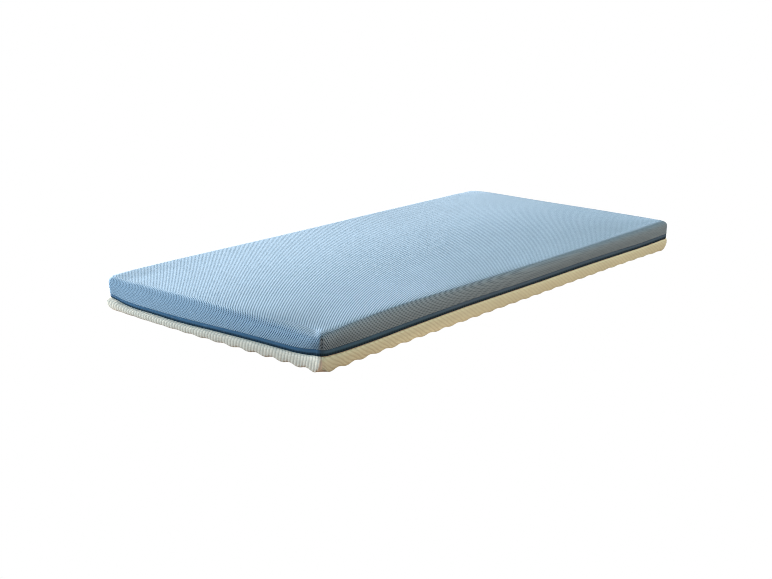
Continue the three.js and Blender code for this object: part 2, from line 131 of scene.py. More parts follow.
# Side of the lower cover from its scalloped edge up to the tape: wide is a share of
# the widest line's inset, foot a share of the bottom edge's, the rest is the tape's
LOWER_SIDE = {
    "rise":   [0.00, 0.08, 0.22, 0.42, 0.62, 0.78, 0.89, 0.96, 1.00],
    "wide":   [0.00, 0.42, 0.76, 0.94, 1.00, 0.91, 0.71, 0.39, 0.00],
    "foot":   [1.00, 0.58, 0.24, 0.06, 0.00, 0.00, 0.00, 0.00, 0.00],
    "corner": [18.0, 17.0, 16.0, 14.0, 13.0, 12.5, 13.0, 13.2, 13.6],
}


# -------------------------------------------------------------------- outline
def around(column, at):
    """A value of the table ROUND at places round the mattress, smoothly."""
    xs, ys = np.array(ROUND["at"]), np.array(ROUND[column])
    n = len(xs)
    a = np.mod(np.asarray(at, float), 4.0)
    i = np.searchsorted(xs, a, side="right") - 1

    def row(k):
        return xs[k % n] + 4.0 * (k // n), ys[k % n]

    (x0, y0), (x1, y1), (x2, y2), (x3, y3) = row(i - 1), row(i), row(i + 1), row(i + 2)
    t = (a - x1) / (x2 - x1)
    m1 = (y2 - y0) / (x2 - x0) * (x2 - x1)
    m2 = (y3 - y1) / (x3 - x1) * (x2 - x1)
    t2, t3 = t * t, t * t * t
    return (2 * t3 - 3 * t2 + 1) * y1 + (t3 - 2 * t2 + t) * m1 + (3 * t2 - 2 * t3) * y2 + (t3 - t2) * m2


def drawn_in(x, y):
    """The sides pull in between the corners, and the whole plan follows them."""
    fx = 1 - np.minimum(1, np.abs(x / HALF_L)) ** DRAW_POWER
    fy = 1 - np.minimum(1, np.abs(y / HALF_W)) ** DRAW_POWER
    askew = np.exp(-((x + HALF_L) ** 2 + (y + HALF_W) ** 2) / SKEW_REACH**2)
    return (x * (1 - DRAWN_IN_SHORT / HALF_L * fy) + SKEW_X * askew,
            y * (1 - DRAWN_IN_LONG / HALF_W * fx) + SKEW_Y * askew)


def side_steps(length, near, far, ramp, times=1):
    """0 to 1 along a side, closer together near its ends: near + ramp * distance, up to far."""
    d = np.linspace(0, length / 2, 4001)
    count = np.concatenate([[0], np.cumsum((d[1:] - d[:-1]) / np.minimum(far, near + ramp * (d[1:] + d[:-1]) / 2))])
    half = times * max(1, int(round(count[-1] / times)))
    where = np.interp(np.linspace(0, count[-1], half + 1), count, d) / length
    return np.concatenate([where, 1 - where[::-1][1:]])


def walk(long_steps, short_steps):
    """Stations round the outline, anticlockwise from above, starting at the corner -X -Y."""
    corners = [(-1, -1), (1, -1), (1, 1), (-1, 1), (-1, -1)]
    u, v, at = [], [], []
    for k in range(4):
        t = (long_steps if k % 2 == 0 else short_steps)[:-1]
        (u0, v0), (u1, v1) = corners[k], corners[k + 1]
        u.append(u0 + (u1 - u0) * t)
        v.append(v0 + (v1 - v0) * t)
        at.append(k + t)
    return {"u": np.concatenate(u), "v": np.concatenate(v), "at": np.concatenate(at)}


def on_outline(s, inset, corner):
    """Points of an outline with rounded corners, drawn in between them."""
    a, b = HALF_L - inset, HALF_W - inset
    x, y = s["u"] * a, s["v"] * b
    long_side = np.abs(s["v"]) > 0.999999
    left = np.where(long_side, a - np.abs(x), b - np.abs(y))
    turn = math.pi / 4 * (1 - np.minimum(left, corner) / corner)
    along, out = corner * np.sin(turn), corner * np.cos(turn)
    ox, oy = np.where(long_side, along, out), np.where(long_side, out, along)
    rx, ry = np.sign(x) * (a - corner + ox), np.sign(y) * (b - corner + oy)
    straight = left >= corner
    return drawn_in(np.where(straight, x, rx), np.where(straight, y, ry))


def corner_distance(s):
    """How far each station is from the nearest corner, along the outline, mm."""
    t = np.mod(s["at"], 1.0)
    side = np.where(np.floor(s["at"] + 1e-9).astype(int) % 2 == 0, LENGTH, WIDTH)
    return np.minimum(t, 1 - t) * side


def smooth_rows(table, count):
    """The rows of a profile table, refined along a smooth line through them."""
    keys = list(table)
    rows = np.array([table[k] for k in keys], float).T
    scale = np.array([{"rise": 36.0, "out": 3.0, "fold": 1.0, "wide": 4.0, "foot": 4.0}.get(k, 0.0) for k in keys])
    chord = np.concatenate([[0], np.cumsum(np.sqrt((np.diff(rows, axis=0) * scale) ** 2 @ np.ones(len(keys))))])
    n = len(rows)
    slope = np.zeros_like(rows)
    for i in range(n):
        lo, hi = max(0, i - 1), min(n - 1, i + 1)
        slope[i] = (rows[hi] - rows[lo]) / (chord[hi] - chord[lo])
    out = []
    for c in np.linspace(0, chord[-1], count):
        i = min(n - 2, int(np.searchsorted(chord, c, side="right") - 1))
        h = chord[i + 1] - chord[i]
        t = (c - chord[i]) / h
        out.append((2 * t**3 - 3 * t**2 + 1) * rows[i] + (t**3 - 2 * t**2 + t) * h * slope[i]
                   + (3 * t**2 - 2 * t**3) * rows[i + 1] + (t**3 - t**2) * h * slope[i + 1])
    return [dict(zip(keys, r)) for r in out]


def wander(p, scale, seed):
    """Smooth wandering from -1 to 1 at points p (mm), the same each run: a sum of plane waves."""
    rng = np.random.default_rng(seed)
    total = np.zeros(len(p))
    for _ in range(14):
        d = rng.normal(size=3)
        d /= np.linalg.norm(d)
        total += np.sin(p @ d * (2 * math.pi / scale) * rng.uniform(0.6, 1.5) + rng.uniform(0, 6.283))
    return total / 14 * 1.6


# ---------------------------------------------------------------- mesh helper
class Shell:
    """Collects rings of points and the faces between them."""

    def __init__(self):
        self.points, self.count, self.faces, self.tags = [], 0, [], []

    def add(self, x, y, z):
        p = np.stack([x, y, np.broadcast_to(z, np.shape(x))], -1).reshape(-1, 3)
        self.points.append(p)
        first = self.count
        self.count += len(p)
        return np.arange(first, self.count)

    def quads(self, a, b, c, d, tag):
        self.faces.append(np.stack([a, b, c, d], -1).reshape(-1, 4))
        self.tags.append(np.full(np.size(a), tag))

    def band(self, lower, upper, tag=0):
        """Faces between two rings, seen from outside with the lower one below."""
        self.quads(lower, np.roll(lower, -1), np.roll(upper, -1), upper, tag)

    def tris(self, a, b, c, tag=0):
        self.faces.append(np.stack([a, b, c, np.full(np.size(a), -1)], -1).reshape(-1, 4))
        self.tags.append(np.full(np.size(a), tag))

    def build(self, name):
        co = np.concatenate(self.points)
        faces = np.concatenate(self.faces)
        tags = np.concatenate(self.tags)
        size = np.where(faces[:, 3] < 0, 3, 4)
        loops = faces.reshape(-1)
        loops = loops[loops >= 0]
        me = bpy.data.meshes.new(name)
        me.vertices.add(len(co))
        me.vertices.foreach_set("co", ((co + CENTRE) / 1000.0).astype(np.float32).ravel())
        me.loops.add(len(loops))
        me.loops.foreach_set("vertex_index", loops.astype(np.int32))
        me.polygons.add(len(faces))
        me.polygons.foreach_set("loop_start", np.concatenate([[0], np.cumsum(size)[:-1]]).astype(np.int32))
        me.update(calc_edges=True)
        me.validate()
        me.polygons.foreach_set("use_smooth", np.ones(len(faces), bool))
        ob = bpy.data.objects.new(name, me)
        bpy.context.scene.collection.objects.link(ob)
        return ob, co, faces, tags, size


def grid_ring(nu, nv):
    """Indices round the border of a (nu + 1) by (nv + 1) grid, anticlockwise from corner 0, 0."""
    i = np.concatenate([np.arange(nu), np.full(nv, nu), np.arange(nu, 0, -1), np.zeros(nv, int)])
    j = np.concatenate([np.zeros(nu, int), np.arange(nv), np.full(nu, nv), np.arange(nv, 0, -1)])
    return i, j


# ----------------------------------------------------------------- cover_top
def border_blend(u, v, values, at_of, reach, power=1.2):
    """Values given round the border, fading towards 0 over reach mm inside it."""
    du, dv = (1 - np.abs(u)) * HALF_L, (1 - np.abs(v)) * HALF_W
    sides = [
        (at_of(0, (u + 1) / 2), (v + 1) * HALF_W),
        (at_of(1, (v + 1) / 2), (1 - u) * HALF_L),
        (at_of(2, (1 - u) / 2), (1 - v) * HALF_W),
        (at_of(3, (1 - v) / 2), (u + 1) * HALF_L),
    ]
    total, weight = 0.0, 0.0
    for at, d in sides:
        w = 1.0 / (d * d + 1e-3)
        total = total + w * values(at)
        weight = weight + w
    near = np.minimum(du, dv)
    return total / weight * np.exp(-(near / reach) ** power)


def make_cover_top():
    tl = side_steps(LENGTH, 1.2, 5.6, 0.07)
    ts = side_steps(WIDTH, 1.2, 5.6, 0.07)
    s = walk(tl, ts)
    low = around("tape", s["at"]) + around("band", s["at"])
    edge = around("edge", s["at"]) - around("roll", s["at"])
    mid = around("tape", s["at"]) + around("band", s["at"]) / 2 + GAP / 2
    seam, full, fold = (around(k, s["at"]) for k in ("seam", "full", "fold"))
    m = Shell()
    rows = smooth_rows(UPPER_SIDE, 26)
    # hidden underside of the piece, in the groove over the tape
    gx, gy = on_outline(s, seam + GROOVE_DEPTH, GROOVE_CORNER)
    centre = m.add(np.array([0.0]), np.array([0.0]), np.array([float(np.mean(mid))]))
    inner = m.add(gx, gy, mid)
    m.tris(np.roll(inner, -1), inner, np.full(len(inner), centre[0]), tag=9)
    groove = m.add(gx, gy, low + GAP)
    m.band(inner, groove, tag=9)
    below = groove
    side_tag = np.floor(s["at"] + 1e-9).astype(int)
    rings = []
    # a sewn seam runs up each corner, drawn in a little, most of all next to the tape
    crease = np.exp(-(corner_distance(s) / 1.7) ** 2)
    for k, r in enumerate(rows):
        x, y = on_outline(s, seam - LIP - full * r["out"] + fold * r["fold"], r["corner"])
        z = low + GAP + (edge - low - GAP) * r["rise"]
        pull = crease * (0.8 + 0.7 * (1 - r["rise"])) * min(1.0, 6 * (1 - r["rise"])) * min(1.0, 8 * r["rise"])
        rings.append(np.stack([x - np.sign(x) * pull * 0.7, y - np.sign(y) * pull * 0.7, z], 1))
    rings = np.array(rings)
    # length of cloth from the top edge down, for the weave
    step = np.linalg.norm(np.diff(rings, axis=0), axis=2)
    drop = np.concatenate([np.cumsum(step[::-1], axis=0)[::-1], np.zeros((1, step.shape[1]))])
    ids = []
    for k in range(len(rows)):
        ring = m.add(rings[k, :, 0], rings[k, :, 1], rings[k, :, 2])
        m.band(below, ring, tag=9 if k == 0 else 1)
        below = ring
        ids.append(ring)
    nu, nv = len(tl) - 1, len(ts) - 1
    U, V = np.meshgrid(2 * tl - 1, 2 * ts - 1, indexing="ij")
    ri, rj = grid_ring(nu, nv)
    a, b = HALF_L - TOP_INSET, HALF_W - TOP_INSET
    X, Y = drawn_in(U * a, V * b)
    bx, by = rings[-1, :, 0], rings[-1, :, 1]
    # the rounded corners of the border, carried a little way into the grid
    ox, oy = np.zeros_like(X), np.zeros_like(X)
    ox[ri, rj], oy[ri, rj] = bx - X[ri, rj], by - Y[ri, rj]
    wu = np.exp(-((1 - np.abs(V)) * HALF_W / 30.0) ** 2)
    wv = np.exp(-((1 - np.abs(U)) * HALF_L / 30.0) ** 2)
    for arr, out in ((ox, X), (oy, Y)):
        along_u = np.where(V < 0, arr[:, :1], arr[:, -1:]) * wu
        along_v = np.where(U < 0, arr[:1, :], arr[-1:, :]) * wv
        both = np.where(U < 0, np.where(V < 0, arr[0, 0], arr[0, -1]), np.where(V < 0, arr[-1, 0], arr[-1, -1])) * wu * wv
        out += along_u + along_v - both
    base = float(np.mean(around("edge", s["at"])))
    Z = base + CROWN * (1 - np.abs(U) ** 4.2) * (1 - np.abs(V) ** 2) ** 1.3
    Z += border_blend(U, V, lambda at: around("edge", at) - base, lambda k, t: k + t, 110.0)
    Z -= border_blend(U, V, lambda at: around("roll", at), lambda k, t: k + t, ROLL_REACH, 1.0)
    Z[ri, rj] = rings[-1, :, 2]
    for _ in range(6):              # ease the top into the fold
        n = Z.copy()
        n[1:-1, 1:-1] = (Z[1:-1, 1:-1] * 2 + Z[:-2, 1:-1] + Z[2:, 1:-1] + Z[1:-1, :-2] + Z[1:-1, 2:]) / 6
        near = np.exp(-(np.minimum((1 - np.abs(U)) * HALF_L, (1 - np.abs(V)) * HALF_W) / 22.0) ** 2)
        Z = Z * (1 - near) + n * near
        Z[ri, rj] = rings[-1, :, 2]
    grid = np.full((nu + 1, nv + 1), -1)
    grid[ri, rj] = ids[-1]
    inside = m.add(X[1:-1, 1:-1], Y[1:-1, 1:-1], Z[1:-1, 1:-1]).reshape(nu - 1, nv - 1)
    grid[1:-1, 1:-1] = inside
    m.quads(grid[:-1, :-1], grid[1:, :-1], grid[1:, 1:], grid[:-1, 1:], tag=0)
    ob, co, faces, tags, size = m.build("cover_top_cloth")

    # soft unevenness of filled cloth, along the normals
    me = ob.data
    normals = np.zeros(len(co) * 3)
    me.vertices.foreach_get("normal", normals)
    normals = normals.reshape(-1, 3)
    hidden = np.zeros(len(co), bool)
    hidden[faces[tags == 9].ravel()[faces[tags == 9].ravel() >= 0]] = True
    amount = 0.12 * wander(co, 150.0, 11) + 0.05 * wander(co, 55.0, 12)
    amount[hidden] = 0
    co = co + normals * amount[:, None]
    me.vertices.foreach_set("co", ((co + CENTRE) / 1000.0).astype(np.float32).ravel())

    # cloth coordinates for the weave, in mm, for each corner of each face: the place on
    # the top, or the place on its edge and the length of cloth from there down the side
    face_side = np.full(len(faces), -1)
    at_face = 0
    for chunk, t in zip(m.faces, m.tags):
        if t[0] == 1:
            face_side[at_face:at_face + len(chunk)] = side_tag
        at_face += len(chunk)
    down = np.zeros(len(co))
    for k, ring in enumerate(ids):
        down[ring] = drop[k]
    # tone of the upper cover, mostly painted light and shade: painted shade next to the tape and over the edges, and a
    # painted fall of light along the top
    tone = np.ones(len(co))
    gx, gy = np.clip(co[:, 0] / HALF_L, -1, 1), co[:, 1]
    # painted light: lighter towards -X and a little darker past the middle, as the light falls off along the top,
    # except along the near edge at -Y
    painted_falloff = np.interp(gx, [-1, -0.7, -0.35, 0, 0.33, 0.63, 0.87, 1], [1.055, 1.05, 1.03, 0.985, 0.965, 0.98, 1, 1])
    tone *= 1 + (painted_falloff - 1) * np.clip((gy + 190) / 120, 0, 1)
    # painted shade towards the corner at -X -Y; lighter along the long edge at -Y towards +X, and darker on the far
    # side near its middle
    tone *= 1 - 0.045 * np.clip((-300 - co[:, 0]) / 150, 0, 1) * np.clip((-60 - gy) / 120, 0, 1)
    tone *= 1 + 0.07 * np.clip((co[:, 0] + 100) / 150, 0, 1) * np.clip((-200 - gy) / 50, 0, 1)
    tone *= 1 - 0.05 * np.exp(-((co[:, 0] - 120) / 260) ** 2) * np.clip((gy - 120) / 80, 0, 1)
    # painted shade along the edge over the short side at -X, where the top rolls over into it, over its nearer half and
    # in a narrow strip near its far end
    tone *= 1 - 0.14 * np.exp(-np.abs(co[:, 0] + 590) / 30) * np.clip((-20 - gy) / 90, 0, 1)
    tone *= 1 - 0.11 * np.exp(-np.abs(co[:, 0] + 588) / 12) * np.clip((gy - 150) / 60, 0, 1) * np.clip((270 - gy) / 40, 0, 1)
    shade, fold_shade = around("shade", s["at"]), around("fold_shade", s["at"])
    # painted shade on the side: darker next to the tape and just under the fold
    for k, ring in enumerate(ids):
        rise = rows[k]["rise"]
        t = np.clip((rise - 0.2) / (0.5 + shade), 0, 1)
        on_top = max(0.0, rise - 0.9) * 10
        tone[ring] = 1 - shade * (1 - t * t * (3 - 2 * t)) + (tone[ring] - 1) * on_top
        tone[ring] *= 1 - 0.4 * crease * (1 - on_top)      # the thread of the corner seam
        tone[ring] *= 1 - fold_shade * np.clip((rise - 0.64) / 0.14, 0, 1) * np.clip((1 - rise) / 0.06, 0, 1)
    layer = me.attributes.new("knit_tone_and_painted_light", "FLOAT", "POINT")
    layer.data.foreach_set("value", tone.astype(np.float32))
    U_l, V_l, D_l, S_l = (np.zeros(faces.shape) for _ in range(4))
    for side in range(-1, 4):
        pick = face_side == side
        uu, vv = co[:, 0].copy(), co[:, 1].copy()
        for ring in ids:
            if side >= 0:
                uu[ring], vv[ring] = co[ids[-1], 0], co[ids[-1], 1]
        U_l[pick], V_l[pick], S_l[pick] = uu[faces[pick]], vv[faces[pick]], side
        D_l[pick] = down[faces[pick]] if side >= 0 else 0.0
    keep = faces >= 0
    weave(me, U_l[keep], V_l[keep], D_l[keep], S_l[keep])
    return ob


# ------------------------------------------------------------ weave of the knit
# The knit is a lattice of small openings. Its two sets of rows are nearly straight,
# with a pitch of about 3.7 by 4.2 mm, and the cloth is a little stretched here and
# there, which DRIFT gives in rows: columns are powers of u and v and the amount.
ROWS_U, ROWS_V = 0.27026, 0.23716
DRIFT = [
    (0, 2, 2.35), (0, 3, -0.95), (0, 4, 1.05), (0, 5, -0.83), (1, 1, 5.42), (1, 2, 1.05), (1, 3, -1.76),
    (1, 4, 0.93), (2, 0, 7.84), (2, 1, -0.94), (2, 2, -4.13), (2, 3, 1.49), (3, 0, 4.26), (3, 1, -4.57),
    (3, 2, -0.49), (4, 0, -2.86), (4, 1, -1.53), (5, 0, -3.4),
]


# On the sides the cloth is stretched downwards: rows per mm of cloth down each side,
# from the long side at -Y round to the short side at -X, for the two sets
SIDE_ROWS = {"one": [-0.140, -0.119, 0.140, 0.119], "two": [-0.140, 0.190, 0.140, -0.190]}


def weave(me, U, V, down, side):
    """Stores the two row counts of the knit, for each face corner, for the material to read."""
    u, v = np.clip(U / 600, -1, 1), np.clip(V / 295, -1, 1)
    drift = sum(k * u**i * v**j for i, j, k in DRIFT)
    k = np.maximum(side, 0).astype(int)
    one = -ROWS_U * U + ROWS_V * V + drift + np.array(SIDE_ROWS["one"])[k] * down
    two = ROWS_U * U + ROWS_V * V - 0.13 * drift + np.array(SIDE_ROWS["two"])[k] * down
    # the openings are stretched wide towards -Y and closer over the rest of the top
    across, along = np.clip((V + 60) / 200, 0, 1), np.clip((U + 50) / 400, 0, 1)
    open_ = 1 - 0.36 * across - 0.32 * across * along
    open_ *= 1 + 0.35 * np.exp(-((U + 60) / 300) ** 2) * np.clip((-90 - V) / 80, 0, 1)
    open_ = np.where(side == 0, 1 - 0.45 * np.clip((U + 150) / 450, 0, 1), open_)
    data = np.stack([one, two, open_], 1).astype(np.float32)
    layer = me.attributes.new("knit_rows", "FLOAT_VECTOR", "CORNER")
    layer.data.foreach_set("vector", data.ravel())


# ---------------------------------------------------------------- border_tape
def make_border_tape():
    tl = side_steps(LENGTH, 1.6, 4.8, 0.07)
    ts = side_steps(WIDTH, 1.6, 4.8, 0.07)
    s = walk(tl, ts)
    low, high = around("tape", s["at"]), around("tape", s["at"]) + around("band", s["at"])
    seam = around("seam", s["at"])
    m = Shell()
    profile = [  # share of the band's height, depth: the face is a little full, its edges roll in
        (0.00, TAPE_THICK), (0.00, 1.6), (0.03, 0.8), (0.10, 0.15), (0.25, -0.18), (0.5, -0.3), (0.75, -0.22),
        (0.92, 0.0), (0.99, 0.5), (1.00, 1.4), (1.00, TAPE_THICK),
    ]
    rings = []
    for share, depth in profile:
        x, y = on_outline(s, seam + depth, TAPE_CORNER - depth)
        rings.append(m.add(x, y, low + (high - low) * share))
    for k, ring in enumerate(rings):
        if k + 1 < len(rings):
            m.band(ring, rings[k + 1])
    m.band(rings[-1], rings[0])
    ob, co, faces, tags, size = m.build("border_tape_band")
    me = ob.data
    # length along the tape in mm, share of its height and its painted shade, for its weave, stitches and shading
    run = np.concatenate([[0], np.cumsum(np.hypot(np.diff(s["u"] * HALF_L), np.diff(s["v"] * HALF_W)))])
    along = np.zeros(len(co))
    up = np.zeros(len(co))
    for (share, depth), ring in zip(profile, rings):
        along[ring] = run
        up[ring] = share
    corner_along = along[faces]
    # the last faces of each band close the ring: their far corners lie one lap on
    lap = run[-1] + 1.2
    first = np.isin(faces, np.concatenate([r[:1] for r in rings]))
    last = np.isin(faces, np.concatenate([r[-1:] for r in rings])).any(axis=1)
    corner_along = np.where(first & last[:, None], lap, corner_along)
    # painted shade of the tape, from the deep column
    deep = np.zeros(len(co))
    for ring in rings:
        deep[ring] = around("deep", s["at"])
    data = np.stack([corner_along.ravel(), up[faces].ravel(), deep[faces].ravel()], 1)[(faces >= 0).ravel()]
    layer = me.attributes.new("tape_run_and_shade", "FLOAT_VECTOR", "CORNER")
    layer.data.foreach_set("vector", data.astype(np.float32).ravel())
    return ob


# ----------------------------------------------------------------- cover_base
def make_cover_base():
    cell = 6                                            # grid steps in a bump
    fine = 6                                            # side stations in a grid step
    nu, nv = BUMPS_LONG * cell, BUMPS_SHORT * cell
    s = walk(np.linspace(0, 1, nu * fine + 1), np.linspace(0, 1, nv * fine + 1))
    coarse = np.arange(0, len(s["at"]), fine)
    low = around("tape", s["at"])
    mid = low + around("band", s["at"]) / 2 - GAP / 2
    cells = np.where(np.floor(s["at"] + 1e-9).astype(int) % 2 == 0, BUMPS_LONG, BUMPS_SHORT)
    part = np.mod(s["at"], 1.0) * cells
    wave = np.abs(np.mod(part, 1.0) - 0.5) * 2          # 0 on a bump, 1 between two
    deep = (VALLEY - EDGE_BUMP) * around("wave", s["at"])
    scallop = EDGE_BUMP + deep * np.sin(wave * math.pi / 2) ** 2.4
    scallop = scallop + CORNER_LIFT * np.exp(-(corner_distance(s) / CORNER_REACH) ** 2)
    # ribs run up the side: their count along each side keeps the pitch
    side_len = np.where(cells == BUMPS_LONG, LENGTH, WIDTH)
    long_side = cells == BUMPS_LONG
    ribs = np.round(side_len / np.where(long_side, RIB_PITCH["long"], RIB_PITCH["short"]))
    lean = np.where(long_side, RIB_LEAN["long"], RIB_LEAN["short"])
    m = Shell()
    rows = smooth_rows(LOWER_SIDE, 17)
    ids, rings = [], []
    line = around("seam", s["at"]) - LIP
    for r in rows:
        inset = line - around("bulge", s["at"]) * r["wide"] + (around("under", s["at"]) - line) * r["foot"]
        x, y = on_outline(s, inset, r["corner"])
        z = scallop + (low - GAP - scallop) * r["rise"]
        rings.append(np.stack([x, y, z], 1))
    rings = np.array(rings)
    # rib relief, out from the side
    dx = np.roll(rings, -1, axis=1) - np.roll(rings, 1, axis=1)
    up = np.gradient(rings, axis=0)
    out = np.cross(dx, up)
    out /= np.linalg.norm(out, axis=2, keepdims=True)
    level = np.array([r["rise"] for r in rows])
    depth = RIB_DEPTH * np.clip(level / 0.06, 0.25, 1) * np.clip((1.0 - level) / 0.3, 0.1, 1)
    # along the long side at -Y the cloth is worn, and its ribs are fainter towards +X
    ribbed = np.where(np.floor(s["at"] + 1e-9) == 0,
                      1 - 0.62 * np.clip((s["u"] + 0.66) / 0.4, 0, 1) * np.clip((1 - s["u"]) * HALF_L / 20, 0, 1), 1.0)
    count = (np.mod(s["at"], 1.0) * ribs)[None, :] + lean[None, :] * level[:, None] * (low - 4)[None, :]
    rib = np.cos(2 * math.pi * count + math.pi)
    shape = np.sign(rib) * np.abs(rib) ** 0.8
    rings = rings + out * (shape * depth[:, None] * ribbed)[..., None] * 0.5 - out * RIB_DEPTH * 0.35
    flat = rings.reshape(-1, 3)
    flat += out.reshape(-1, 3) * (0.28 * wander(flat, 90.0, 21) + 0.12 * wander(flat, 24.0, 22))[:, None]
    rings = flat.reshape(rings.shape)
    rings[:, :, 2] = np.maximum(rings[:, :, 2], 0.15)
    for k in range(len(rows)):
        ring = m.add(rings[k, :, 0], rings[k, :, 1], rings[k, :, 2])
        if k:
            m.band(ids[-1], ring, tag=1)
        ids.append(ring)
    # ledge under the tape, groove behind it and the hidden upper face
    few = s["at"][coarse]
    sc = {k: v[coarse] for k, v in s.items()}
    lip_x, lip_y = on_outline(sc, around("seam", few) + GROOVE_DEPTH, GROOVE_CORNER)
    ledge = m.add(lip_x, lip_y, around("tape", few) - GAP)
    top = ids[-1]
    n = len(coarse)
    nxt = np.roll(np.arange(n), -1)
    for f in range(fine):                               # a fan from each fine edge to the coarse ring
        a0 = top[coarse + f]
        a1 = top[(coarse + f + 1) % len(top)]
        m.tris(a0, a1, ledge if f < fine / 2 else ledge[nxt], tag=9)
    m.tris(top[coarse + fine // 2], ledge[nxt], ledge, tag=9)
    inner = m.add(lip_x, lip_y, around("tape", few) + around("band", few) / 2 - GAP / 2)
    m.band(ledge, inner, tag=9)
    centre = m.add(np.array([0.0]), np.array([0.0]), np.array([float(np.mean(mid))]))
    m.tris(inner, np.roll(inner, -1), np.full(n, centre[0]), tag=9)

    # underside: rounded bumps with flat feet
    U, V = np.meshgrid(np.linspace(-1, 1, nu + 1), np.linspace(-1, 1, nv + 1), indexing="ij")
    X, Y = drawn_in(U * (HALF_L - UNDER), V * (HALF_W - UNDER))
    p = np.mod((U + 1) / 2 * BUMPS_LONG, 1.0) * 2 - 1
    q = np.mod((V + 1) / 2 * BUMPS_SHORT, 1.0) * 2 - 1
    p[-1, :], q[:, -1] = 1, 1
    outer_u = (np.abs(U) > 1 - 1.0 / BUMPS_LONG) * 1.0
    outer_v = (np.abs(V) > 1 - 1.0 / BUMPS_SHORT) * 1.0
    pe, qe = np.abs(p) * (1 - 0.62 * outer_u), np.abs(q) * (1 - 0.62 * outer_v)
    r = (pe**4 + qe**4) ** 0.25
    t = np.clip((r - FOOT_SHARE) / (1 - FOOT_SHARE), 0, 1)
    Z = VALLEY * (t * t * (3 - 2 * t)) ** 0.9
    ri, rj = grid_ring(nu, nv)
    first = ids[0][coarse]
    # the corner bumps are rounded up like the side's bottom corners, and stay inside them
    off = np.hypot((1 - np.abs(U)) * HALF_L, (1 - np.abs(V)) * HALF_W)
    Z += CORNER_LIFT * np.exp(-(off / CORNER_REACH) ** 2)
    pull = 3.2 * np.exp(-(off / CORNER_REACH) ** 2)
    X, Y = X - np.sign(U) * pull, Y - np.sign(V) * pull
    grid = np.full((nu + 1, nv + 1), -1)
    inside = m.add(X[1:-1, 1:-1], Y[1:-1, 1:-1], np.maximum(Z[1:-1, 1:-1], 0.0)).reshape(nu - 1, nv - 1)
    grid[1:-1, 1:-1] = inside
    grid[ri, rj] = first
    m.quads(grid[:-1, 1:], grid[1:, 1:], grid[1:, :-1], grid[:-1, :-1], tag=2)
    # the fine edge over each border face: fans that fill up to the fine stations
    for f in range(fine):
        a0 = ids[0][coarse + f]
        a1 = ids[0][(coarse + f + 1) % len(ids[0])]
        if 0 < f:
            m.tris(a1, a0, first, tag=2)
    ob, co, faces, tags, size = m.build("cover_base_cloth")
    me = ob.data
    # rib count and height for the material
    run = np.zeros(len(co))
    height = np.zeros(len(co))
    side_no = np.floor(s["at"] + 1e-9)
    for k, ring in enumerate(ids):
        run[ring] = np.mod(s["at"], 1.0) * ribs
        height[ring] = level[k] * (low - 4)
    data = np.zeros((len(faces), 4, 3))
    data[..., 0] = run[faces]
    data[..., 1] = height[faces]
    at_face = 0
    for chunk, t in zip(m.faces, m.tags):
        if t[0] == 1:
            d = data[at_face:at_face + len(chunk)]
            # the corner that begins the next side counts as the end of this one
            ends = d[:, 1, 0] < d[:, 0, 0]
            d[ends, 1, 0] = ribs[ends]
            d[ends, 2, 0] = ribs[ends]
            d[..., 2] = (side_no % 2)[:, None]
        at_face += len(chunk)
    data[tags != 1] = (0.25, 0.0, 2.0)
    # tone, mostly painted light and shade: painted shade lower down, so the side is lighter up towards the tape, and a
    # painted highlight on the ledge just under it; painted shade on the long side at -Y near the corner at -X -Y,
    # lighter right at that corner and on the end next to it; a paler worn patch low on the long side at -Y; and lighter
    # higher up towards the far corner of the end at -X
    tone = np.ones(len(co))
    front, end = np.mod(side_no, 4) == 0, np.mod(side_no, 4) == 3
    along = np.where(front, 1 - 0.24 * np.exp(-(s["u"] + 1) * HALF_L / 90.0), 1.0)
    along += end * 0.12 * np.exp(-(s["v"] + 1) * HALF_W / 35.0) + front * 0.18 * np.exp(-(s["u"] + 1) * HALF_L / 9.0)
    worn = front * 0.25 * np.exp(-((s["u"] + 0.50) / 0.26) ** 2)
    for k, ring in enumerate(ids):
        t = np.clip((level[k] - 0.86) / 0.1, 0, 1)
        tone[ring] = (0.975 + 0.06 * level[k] + 0.14 * t * t * (3 - 2 * t)) * along
        tone[ring] += worn * max(0.0, 1 - level[k] / 0.65)
        tone[ring] += end * 0.14 * level[k] * np.exp(-(1 - s["v"]) * HALF_W / 45.0)
    layer = me.attributes.new("rib_tone_and_painted_light", "FLOAT", "POINT")
    layer.data.foreach_set("value", tone.astype(np.float32))
    soft = np.ones(len(co))
    for ring in ids:
        soft[ring] = ribbed
    layer = me.attributes.new("rib_soft", "FLOAT", "POINT")
    layer.data.foreach_set("value", soft.astype(np.float32))
    layer = me.attributes.new("rib_run", "FLOAT_VECTOR", "CORNER")
    layer.data.foreach_set("vector", data.reshape(-1, 3)[(faces >= 0).ravel()].astype(np.float32).ravel())
    return ob


